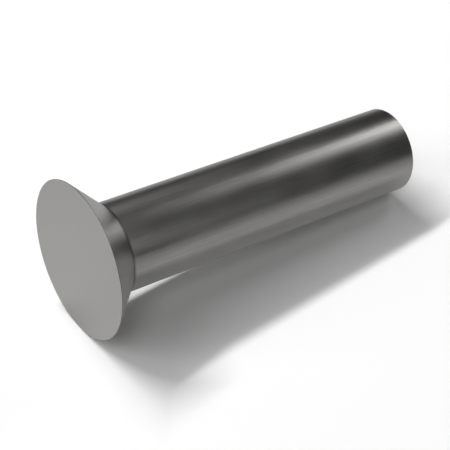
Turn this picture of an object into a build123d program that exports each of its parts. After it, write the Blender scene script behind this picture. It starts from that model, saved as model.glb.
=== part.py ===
from build123d import *
import os
from math import radians, tan

# Solid rivet with a flat countersunk head, cold headed in one piece from plain steel wire.
# All sizes are in millimetres. The rivet stands on its tail: the origin is the centre of
# the tail's end face, and +Z runs up the axis to the flat top of the head.

# Driving dimensions
SHANK_DIAMETER = 5.9  # plain round shank, a little under the nominal 6
HEAD_DIAMETER = 10.4  # across the rim of the head
HEAD_ANGLE = 90.0  # included angle, in degrees, of the cone that fills the countersink
OVERALL_LENGTH = 24.9  # from the tail's end face to the flat top of the head
RIM_RADIUS = 0.02  # rounding of the thin rim between the flat top and the cone
NECK_RADIUS = 0.05  # hollow fillet where the cone runs out into the shank
TAIL_RADIUS = 0.05  # rounding of the edge of the cut end

# The cone and the flat top would meet in a sharp corner just outside the rounded rim.
# Inside that corner the metal fills 90 degrees less half the cone's angle.
half_angle = HEAD_ANGLE / 2
corner_angle = 90.0 - half_angle
corner_beyond_rim = RIM_RADIUS / tan(radians(corner_angle / 2)) - RIM_RADIUS

shank_radius = SHANK_DIAMETER / 2
corner_radius = HEAD_DIAMETER / 2 + corner_beyond_rim
head_height = (corner_radius - shank_radius) / tan(radians(half_angle))
neck_level = OVERALL_LENGTH - head_height

with BuildPart() as rivet:
    # Half section from the axis outwards: tail, shank, cone and flat top
    with BuildSketch(Plane.XZ):
        with BuildLine():
            Polyline(
                (0, 0),
                (shank_radius, 0),
                (shank_radius, neck_level),
                (corner_radius, OVERALL_LENGTH),
                (0, OVERALL_LENGTH),
                close=True,
            )
        make_face()
    revolve(axis=Axis.Z)

    # The section leaves three round edges, which from the tail up are tail, neck and rim
    fillet(rivet.edges().filter_by(GeomType.CIRCLE).sort_by(Axis.Z)[-1], RIM_RADIUS)
    fillet(rivet.edges().filter_by(GeomType.CIRCLE).sort_by(Axis.Z)[1], NECK_RADIUS)
    fillet(rivet.edges().filter_by(GeomType.CIRCLE).sort_by(Axis.Z)[0], TAIL_RADIUS)

rivet.part.label = "rivet"

os.makedirs("parts", exist_ok=True)
export_step(rivet.part, "parts/rivet.step")
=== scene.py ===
from math import atan2, cos, pi, radians, sin

import bmesh
import bpy
from mathutils import Matrix, Vector


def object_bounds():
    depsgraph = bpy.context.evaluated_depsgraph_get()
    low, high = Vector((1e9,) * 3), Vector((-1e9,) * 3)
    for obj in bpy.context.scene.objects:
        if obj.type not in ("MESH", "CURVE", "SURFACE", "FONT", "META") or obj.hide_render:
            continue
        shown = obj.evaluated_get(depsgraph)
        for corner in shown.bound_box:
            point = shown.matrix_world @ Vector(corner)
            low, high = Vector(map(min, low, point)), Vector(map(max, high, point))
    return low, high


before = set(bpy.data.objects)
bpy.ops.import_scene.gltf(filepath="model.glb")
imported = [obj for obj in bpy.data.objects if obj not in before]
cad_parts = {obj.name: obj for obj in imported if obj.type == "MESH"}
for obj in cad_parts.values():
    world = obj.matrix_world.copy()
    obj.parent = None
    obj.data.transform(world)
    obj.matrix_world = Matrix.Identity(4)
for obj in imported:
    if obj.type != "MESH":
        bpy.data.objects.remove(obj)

# A solid rivet with a flat countersunk head, in plain dark steel. It stands on its tail at the
# origin, with its axis along +Z. All lengths are in metres. A white board leans against it and
# touches the rim of the head and the edge of the tail. The camera lies on its side, so that in
# its picture the rivet lies on the board as on a floor.

cad_low, cad_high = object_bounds()

# Sizes of the rivet. The cone of the head is 90 degrees, so its height is what its radius gains
LENGTH = cad_high.z
HEAD_RADIUS = cad_high.x
SHANK_RADIUS = 0.00295
NECK_LEVEL = LENGTH - HEAD_RADIUS + SHANK_RADIUS
RIM_EDGE = 0.00002  # radius of the rounding between the cone and the flat top

# Camera: its place, and where it looks from as seen from the board, in degrees
CAMERA_PLACE = Vector((-0.055623, -0.052009, 0.057861))
CAMERA_AZIMUTH = -125.166
CAMERA_ELEVATION = 40.090
CAMERA_LENS = 107.84  # in mm, on a sensor 36 mm wide
SENSOR_WIDTH = 36
CLIP_START = 0.001
CLIP_END = 10

# Soft boxes: azimuth and elevation as seen from the board in degrees, width parallel to the
# board, height across it, and glow, the brightness of the lit face
SOFTBOX_DISTANCE = 0.5
SOFTBOXES = {
    "key": (104.6, 51.9, 0.309, 0.021, 96.0),
    "strip": (1.4, 25.6, 0.177, 0.414, 0.75),
    "fill": (-72.2, 39.8, 0.057, 0.490, 1.89),
    "back": (165.0, 29.0, 0.283, 0.681, 1.79),
    "front": (-138.0, 45.0, 0.142, 0.300, 2.76),
    "accent": (10.0, 38.0, 0.156, 0.064, 5.02),
    "top": (88.0, 56.0, 0.250, 0.096, 3.21),
    "side": (85.0, 46.0, 0.500, 0.360, 0.34),
}
# These would only glare in the steel, so they light the board alone
NOT_IN_STEEL = ("key", "top")

# Board: its size and colour. The steel shows it partly as a painted reflection: a glow in given
# tones that stands in for the light and shadows on it. The glowing part is one share near the
# line where the rivet lies, and another far from it
BOARD_SIZE = 0.24
BOARD_COLOUR = 0.95
PLAIN_NEAR = 0.010
PLAIN_FAR = 0.030
PLAIN_SHARE_NEAR = 0.6
PLAIN_SHARE_FAR = 1.0

# Painted reflection tones: distance from that line, brightness on the camera's side and on the
# other side
REFLECTION_GLOW_TONES = [
    (0, 0.253, 0.000),
    (0.003, 0.271, 0.254),
    (0.007, 0.082, 0.220),
    (0.014, 0.024, 0.272),
    (0.03, 0.344, 0.594),
    (0.08, 0.233, 0.654),
]
PLAIN_REACH = REFLECTION_GLOW_TONES[-1][0]
PLAIN_SEAM = 0.002  # how far the two sides run into each other

# Canopy: a dark tent round the boxes, with a floor just behind the board
CANOPY_RADIUS = 0.9
CANOPY_FLOOR = -0.002
CANOPY_SEGMENTS = 48

# Steel: its mean colour, how far its tone strays from it, its roughness and its relief
STEEL = (0.585, 0.577, 0.560)
TONE_SPREAD = 0.15
MEAN_TONE = 0.5  # the tone, from 0 to 1, that shows the mean colour
ROUGHNESS = 0.34
ROUGHNESS_SPREAD = 0.03
RELIEF_STRENGTH = 0.12
RELIEF_DEPTH = 0.00001

# Marks in the steel: width, scale along the axis, and detail. The smaller the scale, the longer
# the marks. The first three run along the shank, where the wire was drawn
DRAW_MARKS = (0.00016, 0.015, 4)
FINE_MARKS = (0.00005, 0.03, 3)
SCRATCHES = (0.00012, 0.03, 0)
PATCHES = (0.0022, 0.5, 3)
GRAIN = (0.00007, 1, 2)
SPECKS = (0.00016, 1, 1)

# The span that such noise mostly fills, and the high spans where a scratch or a speck appears
NOISE_SPAN = (0.3, 0.7)
SCRATCH_SPAN = (0.66, 0.74)
SPECK_SPAN = (0.68, 0.76)

# Share of each in the tone and in the relief
DRAW_TONE = 0.35
FINE_TONE = 0.35
PATCH_TONE = 0.3
BLEMISH_TONE = 0.3
DRAW_RELIEF = 0.7
GRAIN_RELIEF = 0.3
TOP_CALM = 0.75  # how much calmer the pressed top of the head is than the shank

# Edges: painted shade in the crease of the neck and on the rim, and the rubbed edge of the tail
PAINTED_SHADE_COLOUR = (0.12, 0.115, 0.11)
NECK_SHADE = 0.7  # how much of the painted shade's colour shows
RIM_SHADE = 0.5
NECK_CORE = 0.00002  # distance from the neck's level where the line is darkest, and where it ends
NECK_LINE = 0.00018
TAIL_WEAR = 0.00012  # width of the rubbed edge, and how much lighter and smoother it is
WEAR_TONE = 0.2
WEAR_POLISH = 0.06

# The board's own directions: down the rivet's side, across it, and out of its white face
LEAN = atan2(HEAD_RADIUS - SHANK_RADIUS, LENGTH)
BOARD_DOWN = Vector((0, -sin(LEAN), -cos(LEAN)))
BOARD_ACROSS = Vector((1, 0, 0))
BOARD_OUT = Vector((0, -cos(LEAN), sin(LEAN)))


def board_direction(azimuth, elevation):
    """Unit vector seen from the board: azimuth 0 is down the rivet, 90 across it to +X."""
    along = cos(radians(elevation)) * cos(radians(azimuth))
    across = cos(radians(elevation)) * sin(radians(azimuth))
    return BOARD_DOWN * along + BOARD_ACROSS * across + BOARD_OUT * sin(radians(elevation))


def turned(right, up, back):
    """Rotation that takes X, Y and Z to these three directions."""
    return Matrix((right, up, back)).transposed().to_4x4()


def aimed(place, back):
    """Matrix that puts a camera or lamp at this place, with its back to this direction."""
    right = BOARD_OUT.cross(back).normalized()
    return Matrix.Translation(place) @ turned(right, back.cross(right), back)


def new_object(name, data):
    """An object of this data, in the scene."""
    made = bpy.data.objects.new(name, data)
    bpy.context.scene.collection.objects.link(made)
    return made


def new_material(name):
    """A material with an empty node tree, and its tree."""
    material = bpy.data.materials.new(name)
    material.use_nodes = True
    material.node_tree.nodes.clear()
    return material, material.node_tree


def node(tree, kind, **settings):
    """A new node of the tree, with its settings."""
    made = tree.nodes.new("ShaderNode" + kind)
    for name, value in settings.items():
        setattr(made, name, value)
    return made


def feed(tree, socket, source):
    """Gives a socket its plain value, or links the source to it."""
    if isinstance(source, bpy.types.NodeSocket):
        tree.links.new(source, socket)
    else:
        socket.default_value = source


def math_node(tree, operation, first, second=0):
    """What two numbers make together."""
    made = node(tree, "Math", operation=operation)
    feed(tree, made.inputs[0], first)
    feed(tree, made.inputs[1], second)
    return made.outputs[0]


def ranged(tree, value, low, high, to_low=0, to_high=1):
    """The value's part from low to high, spread out from to_low to to_high."""
    made = node(tree, "MapRange")
    for socket, source in zip(made.inputs, (value, low, high, to_low, to_high)):
        feed(tree, socket, source)
    return made.outputs[0]


def mixed(tree, kind, share, first, second):
    """A mix of two numbers or two colours."""
    made = node(tree, "Mix", data_type=kind)
    feed(tree, made.inputs["Factor"], share)
    feed(tree, made.inputs["A"], first)
    feed(tree, made.inputs["B"], second)
    return made.outputs["Result"]


def mix_shaders(tree, share, first, second):
    """A mix of two shaders, the first of which may be None for no light at all."""
    made = node(tree, "MixShader")
    feed(tree, made.inputs[0], share)
    for socket, shader in zip(made.inputs[1:], (first, second)):
        if shader:
            tree.links.new(shader.outputs[0], socket)
    return made


def finish_tree(tree, kind, shader):
    """Links the shader to the tree's output."""
    tree.links.new(shader.outputs[0], node(tree, kind).inputs["Surface"])


def grey(level):
    """An opaque colour without hue."""
    return (level, level, level, 1)


def add_camera():
    """The camera, rolled so that the board is the ground of its picture."""
    camera = new_object("camera", bpy.data.cameras.new("camera"))
    camera.data.lens = CAMERA_LENS
    camera.data.sensor_width = SENSOR_WIDTH
    camera.data.clip_start = CLIP_START
    camera.data.clip_end = CLIP_END
    look_back = board_direction(CAMERA_AZIMUTH, CAMERA_ELEVATION)
    camera.matrix_world = aimed(CAMERA_PLACE, look_back)
    bpy.context.scene.camera = camera


def add_softbox(name, azimuth, elevation, width, height, glow):
    """A soft box that faces the middle of the rivet and isn't seen by the camera."""
    lamp = bpy.data.lights.new(name + "_softbox", "AREA")
    lamp.shape = "RECTANGLE"
    lamp.size = width
    lamp.size_y = height
    lamp.energy = glow * pi * width * height
    softbox = new_object(name + "_softbox", lamp)
    back = board_direction(azimuth, elevation)
    middle = Vector((0, 0, LENGTH / 2))
    softbox.matrix_world = aimed(middle + back * SOFTBOX_DISTANCE, back)
    softbox.visible_camera = False
    softbox.visible_glossy = name not in NOT_IN_STEEL


def add_world():
    """A world that is white where a ray sees it straight, through glass or off a glossy face."""
    world = bpy.data.worlds.new("studio")
    bpy.context.scene.world = world
    world.use_nodes = True
    tree = world.node_tree
    tree.nodes.clear()
    white = node(tree, "Background")
    white.inputs["Color"].default_value = grey(1)
    white.inputs["Strength"].default_value = 1
    rays = node(tree, "LightPath").outputs
    camera_or_glossy = math_node(tree, "MAXIMUM", rays["Is Camera Ray"], rays["Is Glossy Ray"])
    seen = math_node(tree, "MAXIMUM", camera_or_glossy, rays["Is Transmission Ray"])
    finish_tree(tree, "OutputWorld", mix_shaders(tree, seen, None, white))


def reflection_glow_tones(tree, away, side):
    """The painted reflection's glowing tones on one side of the rivet, by the distance from it.
    """
    ramp = node(tree, "ValToRGB")
    tree.links.new(math_node(tree, "MULTIPLY", away, 1 / PLAIN_REACH), ramp.inputs["Fac"])
    stops = ramp.color_ramp.elements
    while len(stops) < len(REFLECTION_GLOW_TONES):
        stops.new(0.5)
    for stop, (distance, *levels) in zip(stops, REFLECTION_GLOW_TONES):
        stop.position = distance / PLAIN_REACH
        stop.color = grey(levels[side])
    return ramp.outputs["Color"]


def board_white():
    """Matt white in front, and clear from behind, so that it hides the rivet from no side."""
    material, tree = new_material("board_white")
    matt = node(tree, "BsdfDiffuse")
    matt.inputs["Color"].default_value = grey(BOARD_COLOUR)

    # Distance from the line where the rivet lies. The board's own X runs down the rivet from
    # the tail's edge, and its Y across it
    own = node(tree, "SeparateXYZ")
    tree.links.new(node(tree, "TexCoord").outputs["Object"], own.inputs[0])
    middle = math_node(tree, "ADD", own.outputs["X"], LENGTH / 2)
    from_middle = math_node(tree, "ABSOLUTE", middle)
    past_end = math_node(tree, "MAXIMUM", math_node(tree, "SUBTRACT", from_middle, LENGTH / 2))
    along_squared = math_node(tree, "POWER", past_end, 2)
    across_squared = math_node(tree, "MULTIPLY", own.outputs["Y"], own.outputs["Y"])
    away = math_node(tree, "SQRT", math_node(tree, "ADD", along_squared, across_squared))

    # Painted reflection: a glow in given tones, which only the steel sees, in place of the
    # board's light and shade
    far_side = ranged(tree, own.outputs["Y"], -PLAIN_SEAM, PLAIN_SEAM)
    tones = (reflection_glow_tones(tree, away, 0), reflection_glow_tones(tree, away, 1))
    plain = node(tree, "Emission")
    tree.links.new(mixed(tree, "RGBA", far_side, *tones), plain.inputs["Color"])
    share = ranged(tree, away, PLAIN_NEAR, PLAIN_FAR, PLAIN_SHARE_NEAR, PLAIN_SHARE_FAR)
    glossy = node(tree, "LightPath").outputs["Is Glossy Ray"]
    front = mix_shaders(tree, math_node(tree, "MULTIPLY", glossy, share), matt, plain)

    behind = node(tree, "NewGeometry").outputs["Backfacing"]
    clear = node(tree, "BsdfTransparent")
    finish_tree(tree, "OutputMaterial", mix_shaders(tree, behind, front, clear))
    return material


def canopy_black():
    """Black cloth."""
    material, tree = new_material("canopy_black")
    cloth = node(tree, "BsdfDiffuse")
    cloth.inputs["Color"].default_value = grey(0)
    finish_tree(tree, "OutputMaterial", cloth)
    return material


def marks(tree, coordinates, size, stretch, detail):
    """Grey noise with features of this size, drawn out along the rivet's axis."""
    drawn_out = node(tree, "Mapping")
    drawn_out.inputs["Scale"].default_value = (1, 1, stretch)
    tree.links.new(coordinates, drawn_out.inputs["Vector"])
    made = node(tree, "TexNoise")
    made.inputs["Scale"].default_value = 1 / size
    made.inputs["Detail"].default_value = detail
    tree.links.new(drawn_out.outputs[0], made.inputs["Vector"])
    return made.outputs["Fac"]


def spread(tree, noise, share):
    """Noise spread out from 0 to this share."""
    return ranged(tree, noise, *NOISE_SPAN, 0, share)


def height_and_radius(tree, coordinates):
    """Height above the tail, and distance from the axis."""
    place = node(tree, "SeparateXYZ")
    tree.links.new(coordinates, place.inputs[0])
    flat = node(tree, "CombineXYZ")
    tree.links.new(place.outputs["X"], flat.inputs["X"])
    tree.links.new(place.outputs["Y"], flat.inputs["Y"])
    from_axis = node(tree, "VectorMath", operation="LENGTH")
    tree.links.new(flat.outputs[0], from_axis.inputs[0])
    return place.outputs["Z"], from_axis.outputs["Value"]


def worn_tail(tree, height, radius):
    """Mask of the rubbed edge of the tail."""
    by_end = ranged(tree, height, 0, TAIL_WEAR, 1, 0)
    by_side = ranged(tree, radius, SHANK_RADIUS - TAIL_WEAR, SHANK_RADIUS - TAIL_WEAR / 3)
    return math_node(tree, "MULTIPLY", by_end, by_side)


def painted_shade_lines(tree, height, radius):
    """Mask of the painted shade in the crease of the neck, and on the rim's edge, where it dims
    the glint and stands in for the dark that the edge reflects.
    """
    by_side = ranged(tree, radius, HEAD_RADIUS - 2 * RIM_EDGE, HEAD_RADIUS - RIM_EDGE)
    by_top = ranged(tree, height, LENGTH - 3 * RIM_EDGE, LENGTH - 2 * RIM_EDGE, 0, RIM_SHADE)
    on_rim = math_node(tree, "MULTIPLY", by_side, by_top)
    from_neck = math_node(tree, "ABSOLUTE", math_node(tree, "SUBTRACT", height, NECK_LEVEL))
    in_neck = ranged(tree, from_neck, NECK_CORE, NECK_LINE, NECK_SHADE, 0)
    return math_node(tree, "MAXIMUM", on_rim, in_neck)


def steel_tone(tree, coordinates, draw_marks, patches, wear):
    """Tone of the steel from 0, dark, to 1, light."""
    drawn = spread(tree, draw_marks, DRAW_TONE)
    fine = spread(tree, marks(tree, coordinates, *FINE_MARKS), FINE_TONE)
    lines = math_node(tree, "ADD", drawn, fine)
    tone = math_node(tree, "ADD", lines, spread(tree, patches, PATCH_TONE))
    scratches = ranged(tree, marks(tree, coordinates, *SCRATCHES), *SCRATCH_SPAN)
    specks = ranged(tree, marks(tree, coordinates, *SPECKS), *SPECK_SPAN)
    blemishes = math_node(tree, "SUBTRACT", scratches, specks)
    marked = math_node(tree, "ADD", tone, math_node(tree, "MULTIPLY", blemishes, BLEMISH_TONE))
    return math_node(tree, "ADD", marked, math_node(tree, "MULTIPLY", wear, WEAR_TONE))


def drawn_steel():
    """Dark satin steel, drawn to wire and then headed."""
    material, tree = new_material("drawn_steel")
    coordinates = node(tree, "TexCoord").outputs["Object"]
    height, radius = height_and_radius(tree, coordinates)
    draw_marks = marks(tree, coordinates, *DRAW_MARKS)
    patches = marks(tree, coordinates, *PATCHES)
    wear = worn_tail(tree, height, radius)

    # Colour, calmer on the flat top, and darkened by painted shade in the neck and on the rim
    tone = steel_tone(tree, coordinates, draw_marks, patches, wear)
    calm = ranged(tree, height, LENGTH - RIM_EDGE, LENGTH - RIM_EDGE / 2, 0, TOP_CALM)
    calmed_tone = mixed(tree, "FLOAT", calm, tone, MEAN_TONE)
    dark_steel = (*[channel * (1 - TONE_SPREAD) for channel in STEEL], 1)
    light_steel = (*[channel * (1 + TONE_SPREAD) for channel in STEEL], 1)
    unshaded = mixed(tree, "RGBA", calmed_tone, dark_steel, light_steel)
    shade_mask = painted_shade_lines(tree, height, radius)
    colour = mixed(tree, "RGBA", shade_mask, unshaded, (*PAINTED_SHADE_COLOUR, 1))

    # Roughness, less where the tail is rubbed
    smooth_end = ROUGHNESS - ROUGHNESS_SPREAD
    rough_end = ROUGHNESS + ROUGHNESS_SPREAD
    rough = ranged(tree, patches, *NOISE_SPAN, smooth_end, rough_end)
    rubbed = math_node(tree, "SUBTRACT", rough, math_node(tree, "MULTIPLY", wear, WEAR_POLISH))

    # Relief
    drawn_relief = math_node(tree, "MULTIPLY", draw_marks, DRAW_RELIEF)
    grain = marks(tree, coordinates, *GRAIN)
    grain_relief = math_node(tree, "MULTIPLY", grain, GRAIN_RELIEF)
    bump = node(tree, "Bump")
    bump.inputs["Strength"].default_value = RELIEF_STRENGTH
    bump.inputs["Distance"].default_value = RELIEF_DEPTH
    tree.links.new(math_node(tree, "ADD", drawn_relief, grain_relief), bump.inputs["Height"])

    metal = node(tree, "BsdfPrincipled")
    metal.inputs["Metallic"].default_value = 1
    tree.links.new(colour, metal.inputs["Base Color"])
    tree.links.new(rubbed, metal.inputs["Roughness"])
    tree.links.new(bump.outputs[0], metal.inputs["Normal"])
    finish_tree(tree, "OutputMaterial", metal)
    return material


# Studio
add_camera()
for name, settings in SOFTBOXES.items():
    add_softbox(name, *settings)
add_world()
bpy.context.scene.view_settings.view_transform = "Standard"

# Board, against the edge of the tail and the rim of the head
half = BOARD_SIZE / 2
corners = [(-half, -half, 0), (half, -half, 0), (half, half, 0), (-half, half, 0)]
board_mesh = bpy.data.meshes.new("board")
board_mesh.from_pydata(corners, [], [(0, 1, 2, 3)])
board_mesh.materials.append(board_white())
board_contact = Vector((0, SHANK_RADIUS, 0))
board_place = Matrix.Translation(board_contact) @ turned(BOARD_DOWN, BOARD_ACROSS, BOARD_OUT)
board = new_object("board", board_mesh)
board.matrix_world = board_place

# Canopy, half a ball over the board with a flat floor. Only the steel shows it
canopy_mesh = bpy.data.meshes.new("canopy")
shell = bmesh.new()
bmesh.ops.create_uvsphere(
    shell, u_segments=CANOPY_SEGMENTS, v_segments=CANOPY_SEGMENTS // 2, radius=CANOPY_RADIUS
)
for vertex in shell.verts:
    vertex.co.z = max(vertex.co.z, CANOPY_FLOOR)
shell.to_mesh(canopy_mesh)
shell.free()
canopy_mesh.materials.append(canopy_black())
canopy = new_object("canopy", canopy_mesh)
canopy.matrix_world = board_place
canopy.visible_camera = False
canopy.visible_diffuse = False
canopy.visible_shadow = False

# Rivet
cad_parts["rivet"].material_slots[0].material = drawn_steel()
